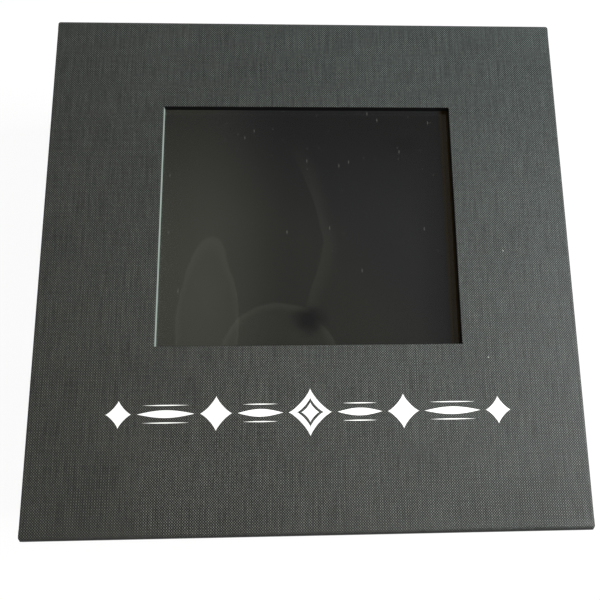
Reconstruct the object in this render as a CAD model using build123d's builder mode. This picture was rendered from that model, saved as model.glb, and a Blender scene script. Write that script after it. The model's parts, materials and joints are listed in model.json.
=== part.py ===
from build123d import *
import os
from math import atan2, degrees, sqrt
from typing import NamedTuple

os.makedirs("parts", exist_ok=True)

# A rigid keepsake box for papers and photographs. A tray of greyboard is glued
# into a case of four boards (base, spine, lid and front flap) that one sheet of
# linen-embossed paper covers and hinges. The lid has a window with a clear film,
# and a pocket behind it that takes a photograph through a slot in its right edge.
# The flap hangs over the front of the tray and is held by two hidden magnets.
# Frame: millimetres, +Z up, X across the box, -Y towards the flap, and the
# origin at the middle of the underside.

# Overall size of the closed box
box_width = 220.0
box_depth = 220.0  # from the flap's face to the spine's face
box_height = 100.0
flap_drop = 55.0  # from the top of the lid to the flap's lower edge

# Sheets and boards
case_board = 2.5
tray_board = 2.0
cover_paper = 0.3
lining_paper = 0.25
stay_tape = 0.15
stay_leg = 18.0  # tape from an upright corner along each wall
edge_bevel = 0.3  # edge of a case board, crushed by the wrapped paper
edge_round = 0.8  # bend of the paper round that edge
corner_round = 1.3  # corner of a case board, seen flat
tray_corner = 1.1  # upright corner of the tray's boards
rim_round = 0.28  # bend of the paper over the tray's rim

# Margins of paper glued down behind the boards
case_turn_in = 15.0
window_turn_in = 12.0
rim_turn_in = 15.0
mitre_slit = 0.3  # between the turned-in margins at a corner
flap_lining_margin = 3.0
rim_lining_margin = 6.0
floor_lining_play = 0.1

# Hinges of paper between the boards
crease_radius = 2.0
crease_play = 0.2  # from the paper's crown out to the line it folds about
crease_draw = 0.6  # how far the paper is drawn in at the ends of a crease

# Clearances of the closed box
closing_gap = 0.3  # lid above the rim, and flap before the tray
tray_inset = 3.0  # lid and base stand out this far past the tray's sides

# Window in the lid
window_width = 124.2
window_depth = 105.0
window_front_margin = 73.5  # from the lid's front edge
window_round = 0.27  # bend of the paper down into the window
film_thickness = 0.3
film_lap = 9.0  # film behind the lid past each edge of the window

# Pocket behind the window, for a print of about 178 by 127 mm
card_lap = 11.0  # card behind the lid in front of and behind the window
card_end_lap = 9.9  # card behind the lid to the left of the window
card_setback = 4.0  # from the lid's right edge to the card's end
card_thickness = 0.5
card_corner = 1.0
card_lift = 0.2  # card above the pocket's panel
pocket_play = 0.5  # beside the card
packing_board = 1.5  # strips that hold the pocket open
panel_board = 1.0  # board that closes the pocket from below
scallop_width = 30.0  # shallow cut in the panel's edge, for a thumb
scallop_depth = 3.5

# Magnets in the flap and steel discs in the tray's front wall
magnet_diameter = 15.0
magnet_thickness = 1.8
keeper_thickness = 1.0
disc_edge = 0.3
disc_play = 0.15  # around a disc in its punched recess
recess_spare = 0.2  # recess deeper than its disc
magnet_inset = 40.0  # from the side of the box to a magnet's centre
magnet_lift = 18.0  # above the flap's lower edge

# Worked out from the sizes above
covered_board = 2 * cover_paper + case_board
lined_board = covered_board + lining_paper
fold_setback = lined_board + closing_gap  # outer corner to a board's lined end
joint_inset = fold_setback + lining_paper  # outer corner to the board itself

tray_width = box_width - 2 * tray_inset
tray_front = -box_depth / 2 + lined_board + closing_gap
tray_back = box_depth / 2 - lined_board
tray_depth = tray_back - tray_front
tray_middle = (tray_front + tray_back) / 2
tray_skin = cover_paper + stay_tape  # from the tray's face to its boards

lid_back_face = box_height - covered_board  # underside of the covered lid board
pocket_floor = lid_back_face - packing_board
panel_bottom = pocket_floor - panel_board
lid_underside = panel_bottom - lining_paper

tray_bottom = covered_board
tray_rim = lid_underside - closing_gap
floor_bottom = tray_bottom + cover_paper
floor_top = floor_bottom + tray_board
wall_top = tray_rim - cover_paper

window_middle = -box_depth / 2 + window_front_margin + window_depth / 2
pack_depth = box_depth - 2 * fold_setback
pack_width = tray_width
card_depth = window_depth + 2 * card_lap
pocket_front = window_middle - card_depth / 2 - pocket_play
pocket_back = window_middle + card_depth / 2 + pocket_play
card_right = box_width / 2 - card_setback
card_left = -window_width / 2 - card_end_lap

flap_bottom = box_height - flap_drop
magnet_height = flap_bottom + magnet_lift
magnet_reach = box_width / 2 - magnet_inset
magnet_sides = {"left": -magnet_reach, "right": magnet_reach}


class Panel(NamedTuple):
    """One board of the case, seen from outside."""

    plane: Plane  # on the outer face, x across the box and z outward
    length: float  # along y, from outer corner to outer corner
    low_folds: bool  # a crease at the low end of y, or else a wrapped edge
    high_folds: bool


def outer_plane(middle, outward):
    return Plane(origin=middle, x_dir=(1, 0, 0), z_dir=outward)


lid = Panel(outer_plane((0, 0, box_height), (0, 0, 1)), box_depth, True, True)
spine = Panel(
    outer_plane((0, box_depth / 2, box_height / 2), (0, 1, 0)), box_height, True, True
)
flap = Panel(
    outer_plane((0, -box_depth / 2, box_height - flap_drop / 2), (0, -1, 0)),
    flap_drop,
    False,
    True,
)
base = Panel(outer_plane((0, 0, 0), (0, 0, -1)), box_depth, True, False)


def board_ends(panel):
    """Where the panel's board starts and stops along its y."""
    low = -panel.length / 2 + (joint_inset if panel.low_folds else cover_paper)
    high = panel.length / 2 - (joint_inset if panel.high_folds else cover_paper)
    return low, high


def wrapped_corners(vertices, panel):
    """The flat outline's corners at the ends that are wrapped, not creased."""
    groups = vertices.group_by(Axis.Y)
    corners = ShapeList()
    if not panel.low_folds:
        corners += groups[0]
    if not panel.high_folds:
        corners += groups[-1]
    return corners


def soft_edges(part, panel, low, high):
    """Edges of the two broad faces, apart from those at a crease."""
    folded = []
    if panel.low_folds:
        folded.append(low)
    if panel.high_folds:
        folded.append(high)

    def is_soft(edge):
        place = panel.plane.to_local_coords(edge.center()).Y
        return all(abs(place - end) > cover_paper for end in folded)

    return part.faces().filter_by(panel.plane).edges().filter_by(is_soft)


def make_board(panel):
    """The bare greyboard of a panel, with crushed edges."""
    low, high = board_ends(panel)
    with BuildPart() as board:
        with BuildSketch(panel.plane.offset(-cover_paper)) as outline:
            with Locations((0, (low + high) / 2)):
                Rectangle(box_width - 2 * cover_paper, high - low)
            corners = wrapped_corners(outline.vertices(), panel)
            if corners:
                fillet(corners, corner_round)
        extrude(amount=-case_board)
        chamfer(soft_edges(board, panel, low, high), edge_bevel)
    return board.part


def section_plane(panel):
    """Looks along the crease: x runs along the panel and y outward."""
    plane = panel.plane
    return Plane(origin=plane.origin, x_dir=plane.y_dir, z_dir=plane.x_dir)


def crease_cover(panel, side):
    """Covering paper from the board's end, bent half round the outer corner."""
    start = side * (panel.length / 2 - joint_inset)
    centre = (side * (panel.length / 2 - crease_radius), -crease_radius)
    inner_radius = crease_radius - cover_paper
    with BuildSketch(section_plane(panel)) as section:
        with BuildLine():
            outer = CenterArc(centre, crease_radius, 90, -45 * side)
            inner = CenterArc(centre, inner_radius, 90, -45 * side)
            Line(outer @ 1, inner @ 1)
            Polyline(inner @ 0, (start, -cover_paper), (start, 0), outer @ 0)
        make_face()
    return section.sketch


def joint_lining(panel, side, reach=None):
    """Lining paper from the crease down the board's end, and on behind the board.

    reach is where it stops along the board's back; without it the lining ends
    at the back face, where the next layer traps it.
    """
    board_end = side * (panel.length / 2 - joint_inset)
    lined_end = board_end + side * lining_paper
    centre = (side * (panel.length / 2 - crease_radius), -crease_radius)
    outer_radius = crease_radius - cover_paper
    inner_radius = outer_radius - lining_paper
    inner_level = -cover_paper - lining_paper
    with BuildSketch(section_plane(panel)) as section:
        with BuildLine():
            outer = CenterArc(centre, outer_radius, 90, -45 * side)
            inner = CenterArc(centre, inner_radius, 90, -45 * side)
            Line(outer @ 1, inner @ 1)
            if reach is None:
                back = [(board_end, -covered_board), (lined_end, -covered_board)]
            else:
                back = [
                    (board_end, -covered_board),
                    (reach, -covered_board),
                    (reach, -lined_board),
                    (lined_end, -lined_board),
                ]
            Polyline(
                outer @ 0,
                (board_end, -cover_paper),
                *back,
                (lined_end, inner_level),
                inner @ 0,
            )
        make_face()
    return section.sketch


def make_joint_lining(panel, side, reach=None):
    with BuildPart() as strip:
        extrude(
            joint_lining(panel, side, reach),
            amount=box_width / 2 - flap_lining_margin,
            both=True,
        )
    return strip.part


def margin_slits(panel, low, high):
    """Where the margins of paper meet behind a wrapped corner, and which way."""
    rounding = corner_round + cover_paper
    slits = []
    for y_end, y_way, folds in ((low, 1, panel.low_folds), (high, -1, panel.high_folds)):
        if not folds:
            for x_way in (-1, 1):
                corner = (rounding * x_way - x_way * box_width / 2, y_end + rounding * y_way)
                slits.append((corner, degrees(atan2(y_way, x_way))))
    return slits


def make_cover(panel, board):
    """Covering paper round a board: face, wrapped edges, margins and creases."""
    low, high = board_ends(panel)
    outer_low = low if panel.low_folds else low - cover_paper
    outer_high = high if panel.high_folds else high + cover_paper
    inner_low = low - case_turn_in if panel.low_folds else outer_low + case_turn_in
    inner_high = high + case_turn_in if panel.high_folds else outer_high - case_turn_in
    with BuildPart() as cover:
        with BuildSketch(panel.plane) as outline:
            with Locations((0, (outer_low + outer_high) / 2)):
                Rectangle(box_width, outer_high - outer_low)
            corners = wrapped_corners(outline.vertices(), panel)
            if corners:
                fillet(corners, corner_round + cover_paper)
        extrude(amount=-covered_board)
        fillet(soft_edges(cover, panel, outer_low, outer_high), edge_round)
        add(board, mode=Mode.SUBTRACT)
        with BuildSketch(panel.plane.offset(-cover_paper - case_board)):
            with Locations((0, (inner_low + inner_high) / 2)):
                Rectangle(box_width - 2 * case_turn_in, inner_high - inner_low)
        extrude(amount=-cover_paper, mode=Mode.SUBTRACT)
        slits = margin_slits(panel, outer_low, outer_high)
        if slits:
            with BuildSketch(panel.plane.offset(-cover_paper - case_board)):
                for corner, angle in slits:
                    with Locations(corner):
                        Rectangle(
                            sqrt(2) * case_turn_in,
                            mitre_slit,
                            rotation=angle,
                            align=(Align.MIN, Align.CENTER),
                        )
            extrude(amount=-cover_paper, mode=Mode.SUBTRACT)
        crease_reach = box_width / 2 - crease_draw
        if panel.low_folds:
            extrude(crease_cover(panel, -1), amount=crease_reach, both=True)
        if panel.high_folds:
            extrude(crease_cover(panel, 1), amount=crease_reach, both=True)
    return cover.part


# Lid board, with its window cut large enough for the paper that lines it
lid_blank = make_board(lid)
with BuildPart() as lid_board:
    add(lid_blank)
    with BuildSketch(lid.plane):
        with Locations((0, window_middle)):
            Rectangle(window_width + 2 * cover_paper, window_depth + 2 * cover_paper)
    extrude(amount=-covered_board, mode=Mode.SUBTRACT)
lid_board.part.label = "lid_board"
export_step(lid_board.part, "parts/lid_board.step")

# Lid covering: the face, the long edges, both creases, and the margins that
# fold down through the window and are glued behind it, slit at its corners
with BuildPart() as lid_cover:
    add(make_cover(lid, lid_blank))
    with BuildSketch(lid.plane):
        with Locations((0, window_middle)):
            Rectangle(window_width, window_depth)
    extrude(amount=-covered_board, mode=Mode.SUBTRACT)
    with BuildSketch(lid.plane):
        with Locations((0, window_middle)):
            Rectangle(window_width + 2 * cover_paper, window_depth + 2 * cover_paper)
            Rectangle(window_width, window_depth, mode=Mode.SUBTRACT)
    extrude(amount=-covered_board)
    window_wall = cover_paper + window_turn_in
    with BuildSketch(lid.plane.offset(-cover_paper - case_board)):
        with Locations((0, window_middle)):
            Rectangle(window_width + 2 * window_wall, window_depth + 2 * window_wall)
            Rectangle(window_width, window_depth, mode=Mode.SUBTRACT)
        for x_side in (-1, 1):
            for y_side in (-1, 1):
                corner = (
                    x_side * (window_width / 2 + cover_paper),
                    window_middle + y_side * (window_depth / 2 + cover_paper),
                )
                with Locations(corner):
                    Rectangle(
                        sqrt(2) * window_turn_in,
                        mitre_slit,
                        rotation=degrees(atan2(y_side, x_side)),
                        align=(Align.MIN, Align.CENTER),
                        mode=Mode.SUBTRACT,
                    )
    extrude(amount=-cover_paper)
    window_rim = (
        lid_cover.faces()
        .filter_by(Axis.Z)
        .sort_by(Axis.Z)[-1]
        .inner_wires()
        .edges()
    )
    fillet(window_rim, window_round)
lid_cover.part.label = "lid_cover"
export_step(lid_cover.part, "parts/lid_cover.step")

# Flap board, with a round recess punched from behind for each magnet
flap_back = flap.plane.offset(-cover_paper - case_board)
magnet_row = -flap_drop / 2 + magnet_lift
flap_blank = make_board(flap)
with BuildPart() as flap_board:
    add(flap_blank)
    with BuildSketch(flap_back):
        with Locations(*[(x, magnet_row) for x in magnet_sides.values()]):
            Circle(magnet_diameter / 2 + disc_play)
    extrude(amount=magnet_thickness + recess_spare, mode=Mode.SUBTRACT)
flap_board.part.label = "flap_board"
export_step(flap_board.part, "parts/flap_board.step")

with BuildPart() as flap_cover:
    add(make_cover(flap, flap_blank))
flap_cover.part.label = "flap_cover"
export_step(flap_cover.part, "parts/flap_cover.step")

with BuildPart() as flap_lining:
    add(make_joint_lining(flap, 1, reach=-flap_drop / 2 + flap_lining_margin))
flap_lining.part.label = "flap_lining"
export_step(flap_lining.part, "parts/flap_lining.step")

# Spine board, covering and lining; the tray's back wall is glued to the lining
with BuildPart() as spine_board:
    add(make_board(spine))
spine_board.part.label = "spine_board"
export_step(spine_board.part, "parts/spine_board.step")

with BuildPart() as spine_cover:
    add(make_cover(spine, spine_board.part))
spine_cover.part.label = "spine_cover"
export_step(spine_cover.part, "parts/spine_cover.step")

with BuildPart() as spine_lining:
    add(make_joint_lining(spine, -1, reach=box_height / 2 - joint_inset))
spine_lining.part.label = "spine_lining"
export_step(spine_lining.part, "parts/spine_lining.step")

# Base board and covering
with BuildPart() as base_board:
    add(make_board(base))
base_board.part.label = "base_board"
export_step(base_board.part, "parts/base_board.step")

with BuildPart() as base_cover:
    add(make_cover(base, base_board.part))
base_cover.part.label = "base_cover"
export_step(base_cover.part, "parts/base_cover.step")

# Lining over the lid board's two ends, pressed into the creases
for end, side in {"front": -1, "back": 1}.items():
    with BuildPart() as lid_end_lining:
        add(make_joint_lining(lid, side))
    lid_end_lining.part.label = f"lid_{end}_end_lining"
    export_step(lid_end_lining.part, f"parts/lid_{end}_end_lining.step")

# Clear film glued behind the window's turned-in margins
with BuildPart() as window_film:
    with BuildSketch(Plane.XY.offset(lid_back_face)):
        with Locations((0, window_middle)):
            RectangleRounded(
                window_width + 2 * film_lap, window_depth + 2 * film_lap, card_corner
            )
    extrude(amount=-film_thickness)
window_film.part.label = "window_film"
export_step(window_film.part, "parts/window_film.step")

# Three packing strips leave the pocket open between them, to the right
pack_left = -pack_width / 2 + lining_paper
pack_right = pack_width / 2 - lining_paper
pack_front = -pack_depth / 2 + lining_paper
pack_back = pack_depth / 2 - lining_paper
pocket_left = card_left - pocket_play
packing_strips = {
    "front": (pack_left, pack_right, pack_front, pocket_front),
    "back": (pack_left, pack_right, pocket_back, pack_back),
    "left": (pack_left, pocket_left, pocket_front, pocket_back),
}
for place, (x_low, x_high, y_low, y_high) in packing_strips.items():
    with BuildPart() as packing_strip:
        with BuildSketch(Plane.XY.offset(lid_back_face)):
            with Locations(((x_low + x_high) / 2, (y_low + y_high) / 2)):
                Rectangle(x_high - x_low, y_high - y_low)
        extrude(amount=-packing_board)
    packing_strip.part.label = f"{place}_packing_strip"
    export_step(packing_strip.part, f"parts/{place}_packing_strip.step")

# Shallow arc cut into the right edge of the panel and its lining
scallop_radius = (scallop_width**2 / 4 + scallop_depth**2) / (2 * scallop_depth)
scallop_centre = (pack_width / 2 - scallop_depth + scallop_radius, window_middle)

# Panel that closes the pocket from below
with BuildPart() as pocket_panel:
    with BuildSketch(Plane.XY.offset(pocket_floor)):
        Rectangle(pack_right - pack_left, pack_back - pack_front)
        with Locations(scallop_centre):
            Circle(scallop_radius, mode=Mode.SUBTRACT)
    extrude(amount=-panel_board)
pocket_panel.part.label = "pocket_panel"
export_step(pocket_panel.part, "parts/pocket_panel.step")

# Lining over the panel and round the edges of the packing, slit for the card
with BuildPart() as lid_lining:
    with BuildSketch(Plane.XY.offset(lid_underside)):
        Rectangle(pack_width, pack_depth)
    extrude(amount=lid_back_face - lid_underside)
    with BuildSketch(Plane.XY.offset(panel_bottom)):
        Rectangle(pack_right - pack_left, pack_back - pack_front)
    extrude(amount=lid_back_face - panel_bottom, mode=Mode.SUBTRACT)
    with BuildSketch(Plane.XY.offset(pocket_floor)):
        with Locations((pack_width / 2, (pocket_front + pocket_back) / 2)):
            Rectangle(2 * lining_paper, pocket_back - pocket_front)
    extrude(amount=packing_board, mode=Mode.SUBTRACT)
    with BuildSketch(Plane.XY.offset(lid_underside)):
        with Locations(scallop_centre):
            Circle(scallop_radius)
    extrude(amount=pocket_floor - lid_underside, mode=Mode.SUBTRACT)
lid_lining.part.label = "lid_lining"
export_step(lid_lining.part, "parts/lid_lining.step")

# Black card that shows through the window until a photograph takes its place
with BuildPart() as photo_card:
    with BuildSketch(Plane.XY.offset(pocket_floor + card_lift)):
        with Locations(((card_left + card_right) / 2, window_middle)):
            RectangleRounded(card_right - card_left, card_depth, card_corner)
    extrude(amount=card_thickness)
photo_card.part.label = "photo_card"
export_step(photo_card.part, "parts/photo_card.step")

# Tray boards: the walls stand on the floor, and the side walls fit between
# the front and back walls
boards_width = tray_width - 2 * tray_skin
boards_depth = tray_depth - 2 * tray_skin
boards_front = tray_front + tray_skin
boards_back = tray_back - tray_skin
inside_width = boards_width - 2 * tray_board
inside_depth = boards_depth - 2 * tray_board
wall_height = wall_top - floor_top

with BuildPart() as tray_floor:
    with BuildSketch(Plane.XY.offset(floor_bottom)):
        with Locations((0, tray_middle)):
            RectangleRounded(boards_width, boards_depth, tray_corner)
    extrude(amount=tray_board)
tray_floor.part.label = "tray_floor"
export_step(tray_floor.part, "parts/tray_floor.step")

keeper_plane = Plane(
    origin=(0, boards_front, magnet_height), x_dir=(1, 0, 0), z_dir=(0, -1, 0)
)
with BuildPart() as tray_front_wall:
    with BuildSketch(Plane.XY.offset(floor_top)) as outline:
        with Locations((0, boards_front + tray_board / 2)):
            Rectangle(boards_width, tray_board)
        fillet(outline.vertices().group_by(Axis.Y)[0], tray_corner)
    extrude(amount=wall_height)
    with BuildSketch(keeper_plane):
        with Locations(*[(x, 0) for x in magnet_sides.values()]):
            Circle(magnet_diameter / 2 + disc_play)
    extrude(amount=-keeper_thickness - recess_spare, mode=Mode.SUBTRACT)
tray_front_wall.part.label = "tray_front_wall"
export_step(tray_front_wall.part, "parts/tray_front_wall.step")

with BuildPart() as tray_back_wall:
    with BuildSketch(Plane.XY.offset(floor_top)) as outline:
        with Locations((0, boards_back - tray_board / 2)):
            Rectangle(boards_width, tray_board)
        fillet(outline.vertices().group_by(Axis.Y)[-1], tray_corner)
    extrude(amount=wall_height)
tray_back_wall.part.label = "tray_back_wall"
export_step(tray_back_wall.part, "parts/tray_back_wall.step")

for hand, side in {"left": -1, "right": 1}.items():
    with BuildPart() as tray_side_wall:
        with BuildSketch(Plane.XY.offset(floor_top)):
            with Locations((side * (boards_width - tray_board) / 2, tray_middle)):
                Rectangle(tray_board, inside_depth)
        extrude(amount=wall_height)
    tray_side_wall.part.label = f"tray_{hand}_wall"
    export_step(tray_side_wall.part, f"parts/tray_{hand}_wall.step")

# Stay tape round each upright corner, under the covering paper
for depth_name, y_side in {"front": -1, "back": 1}.items():
    for hand, x_side in {"left": -1, "right": 1}.items():
        with BuildPart() as corner_stay:
            with BuildSketch(Plane.XY.offset(floor_bottom)):
                with Locations((0, tray_middle)):
                    RectangleRounded(
                        boards_width + 2 * stay_tape,
                        boards_depth + 2 * stay_tape,
                        tray_corner + stay_tape,
                    )
                    RectangleRounded(
                        boards_width, boards_depth, tray_corner, mode=Mode.SUBTRACT
                    )
                corner = (
                    x_side * boards_width / 2,
                    tray_middle + y_side * boards_depth / 2,
                )
                with Locations(corner):
                    Rectangle(2 * stay_leg, 2 * stay_leg, mode=Mode.INTERSECT)
            extrude(amount=wall_top - floor_bottom)
        stay_name = f"{depth_name}_{hand}_corner_stay"
        corner_stay.part.label = stay_name
        export_step(corner_stay.part, f"parts/{stay_name}.step")

# Covering paper of the tray: round the walls, under the floor by a margin,
# and over the rim down into the tray by another
with BuildPart() as tray_cover:
    with BuildSketch(Plane.XY.offset(tray_bottom)):
        with Locations((0, tray_middle)):
            RectangleRounded(tray_width, tray_depth, tray_corner + tray_skin)
    extrude(amount=tray_rim - tray_bottom)
    fillet(tray_cover.faces().sort_by(Axis.Z)[-1].edges(), rim_round)
    with BuildSketch(Plane.XY.offset(tray_rim)):
        with Locations((0, tray_middle)):
            Rectangle(inside_width - 2 * cover_paper, inside_depth - 2 * cover_paper)
    extrude(amount=floor_bottom - tray_rim, mode=Mode.SUBTRACT)
    with BuildSketch(Plane.XY.offset(floor_bottom)):
        with Locations((0, tray_middle)):
            RectangleRounded(
                tray_width - 2 * cover_paper,
                tray_depth - 2 * cover_paper,
                tray_corner + stay_tape,
            )
    extrude(amount=tray_rim - rim_turn_in - floor_bottom, mode=Mode.SUBTRACT)
    with BuildSketch(Plane.XY.offset(wall_top)):
        with Locations((0, tray_middle)):
            RectangleRounded(
                tray_width - 2 * cover_paper,
                tray_depth - 2 * cover_paper,
                tray_corner + stay_tape,
            )
            Rectangle(inside_width, inside_depth, mode=Mode.SUBTRACT)
    extrude(amount=tray_rim - rim_turn_in - wall_top, mode=Mode.SUBTRACT)
    with BuildSketch(Plane.XY.offset(tray_bottom)):
        with Locations((0, tray_middle)):
            Rectangle(tray_width - 2 * case_turn_in, tray_depth - 2 * case_turn_in)
    extrude(amount=cover_paper, mode=Mode.SUBTRACT)
tray_cover.part.label = "tray_cover"
export_step(tray_cover.part, "parts/tray_cover.step")

# Lining of the walls: against the boards below, stepped out over the margin
# of covering paper above, and stopping short of the rim
lining_step = tray_rim - rim_turn_in
lining_top = tray_rim - rim_lining_margin
with BuildPart() as tray_wall_lining:
    with BuildSketch(Plane.XY.offset(floor_top)):
        with Locations((0, tray_middle)):
            Rectangle(inside_width, inside_depth)
            Rectangle(
                inside_width - 2 * lining_paper,
                inside_depth - 2 * lining_paper,
                mode=Mode.SUBTRACT,
            )
    extrude(amount=lining_step - floor_top)
    step_out = cover_paper + lining_paper
    with BuildSketch(Plane.XY.offset(lining_step)):
        with Locations((0, tray_middle)):
            Rectangle(inside_width, inside_depth)
            Rectangle(
                inside_width - 2 * step_out,
                inside_depth - 2 * step_out,
                mode=Mode.SUBTRACT,
            )
    extrude(amount=-lining_paper)
    with BuildSketch(Plane.XY.offset(lining_step)):
        with Locations((0, tray_middle)):
            Rectangle(inside_width - 2 * cover_paper, inside_depth - 2 * cover_paper)
            Rectangle(
                inside_width - 2 * step_out,
                inside_depth - 2 * step_out,
                mode=Mode.SUBTRACT,
            )
    extrude(amount=lining_top - lining_step)
tray_wall_lining.part.label = "tray_wall_lining"
export_step(tray_wall_lining.part, "parts/tray_wall_lining.step")

with BuildPart() as tray_floor_lining:
    with BuildSketch(Plane.XY.offset(floor_top)):
        with Locations((0, tray_middle)):
            Rectangle(
                inside_width - 2 * (lining_paper + floor_lining_play),
                inside_depth - 2 * (lining_paper + floor_lining_play),
            )
    extrude(amount=lining_paper)
tray_floor_lining.part.label = "tray_floor_lining"
export_step(tray_floor_lining.part, "parts/tray_floor_lining.step")

# Magnets flush with the back of the flap board, and steel discs facing them
for hand, x_place in magnet_sides.items():
    with BuildPart() as flap_magnet:
        with BuildSketch(flap_back):
            with Locations((x_place, magnet_row)):
                Circle(magnet_diameter / 2)
        extrude(amount=magnet_thickness)
        chamfer(flap_magnet.edges(), disc_edge)
    flap_magnet.part.label = f"{hand}_flap_magnet"
    export_step(flap_magnet.part, f"parts/{hand}_flap_magnet.step")

    with BuildPart() as keeper_disc:
        with BuildSketch(keeper_plane):
            with Locations((x_place, 0)):
                Circle(magnet_diameter / 2)
        extrude(amount=-keeper_thickness)
        chamfer(keeper_disc.edges(), disc_edge)
    keeper_disc.part.label = f"{hand}_keeper_disc"
    export_step(keeper_disc.part, f"parts/{hand}_keeper_disc.step")

# The lid and the flap turn about lines just outside the crown of their crease
fold_drop = crease_radius * (1 - 1 / sqrt(2)) - crease_play / sqrt(2)
print("lid folds at y", box_depth / 2 - fold_drop, "z", box_height - fold_drop)
print("flap folds at y", fold_drop - box_depth / 2, "z", box_height - fold_drop)
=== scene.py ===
import json
import math
import bmesh
import bpy
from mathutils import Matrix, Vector


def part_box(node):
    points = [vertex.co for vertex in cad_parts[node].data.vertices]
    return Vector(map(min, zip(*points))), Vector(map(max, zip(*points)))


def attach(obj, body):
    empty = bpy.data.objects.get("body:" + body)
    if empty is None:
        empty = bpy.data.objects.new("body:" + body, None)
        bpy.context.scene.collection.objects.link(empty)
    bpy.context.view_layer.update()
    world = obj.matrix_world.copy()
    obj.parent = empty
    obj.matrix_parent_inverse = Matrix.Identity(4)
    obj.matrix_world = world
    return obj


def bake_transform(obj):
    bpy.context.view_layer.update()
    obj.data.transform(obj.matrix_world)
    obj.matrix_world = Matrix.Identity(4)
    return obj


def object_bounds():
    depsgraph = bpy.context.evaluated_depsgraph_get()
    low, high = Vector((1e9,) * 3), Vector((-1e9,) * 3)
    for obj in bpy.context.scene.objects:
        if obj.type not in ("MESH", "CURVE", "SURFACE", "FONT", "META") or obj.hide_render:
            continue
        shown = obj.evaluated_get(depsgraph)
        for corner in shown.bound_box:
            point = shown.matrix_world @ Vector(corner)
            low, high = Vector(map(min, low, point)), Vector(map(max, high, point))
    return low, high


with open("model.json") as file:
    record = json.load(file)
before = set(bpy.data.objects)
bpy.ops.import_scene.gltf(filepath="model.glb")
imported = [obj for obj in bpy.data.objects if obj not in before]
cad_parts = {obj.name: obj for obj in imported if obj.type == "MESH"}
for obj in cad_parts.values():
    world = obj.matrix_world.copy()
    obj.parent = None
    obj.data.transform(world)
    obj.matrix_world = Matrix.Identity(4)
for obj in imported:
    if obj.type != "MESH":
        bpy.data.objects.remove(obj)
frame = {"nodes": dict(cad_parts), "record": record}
nodes = frame["nodes"]
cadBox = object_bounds()
print("frame loaded:", len(nodes), "nodes")

mm = 0.001  # lengths are in mm unless a note says m, and this turns them to metres
halfWidth, halfDepth, topHeight = (cadBox[1][axis] / mm for axis in range(3))  # of the closed box
filmHigh = [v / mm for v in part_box("window_film")[1]]  # the film's far corner
filmHidden = (10.0, 9.3)  # how far it runs on under the board, to the right and towards the spine
windowRight, windowSpine = filmHigh[0] - filmHidden[0], filmHigh[1] - filmHidden[1]


def rgba(hexColour):
    # sRGB hex to the linear colour that the shaders take
    channels = [int(hexColour[i:i + 2], 16) / 255 for i in (1, 3, 5)]
    linear = [c / 12.92 if c <= 0.04045 else ((c + 0.055) / 1.055) ** 2.4 for c in channels]
    return (*linear, 1.0)


def addNode(tree, kind, inputs=None, out=0, **settings):
    # one node with its settings; an input takes a number, a colour or another node's socket
    node = tree.nodes.new("ShaderNode" + kind)
    for key, value in settings.items():
        setattr(node, key, value)
    for key, value in (inputs or {}).items():
        if isinstance(value, bpy.types.NodeSocket):
            tree.links.new(value, node.inputs[key])
        else:
            node.inputs[key].default_value = value
    return node.outputs[out] if node.outputs else None


def newMaterial(name):
    material = bpy.data.materials.new(name)
    material.use_nodes = True
    material.node_tree.nodes.clear()
    return material, material.node_tree


def placeInMm(tree):
    # where a point lies on the closed box, in mm
    spot = addNode(tree, "TexCoord", out="Object")
    return addNode(tree, "VectorMath", {0: spot, "Scale": 1 / mm}, operation="SCALE")


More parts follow.
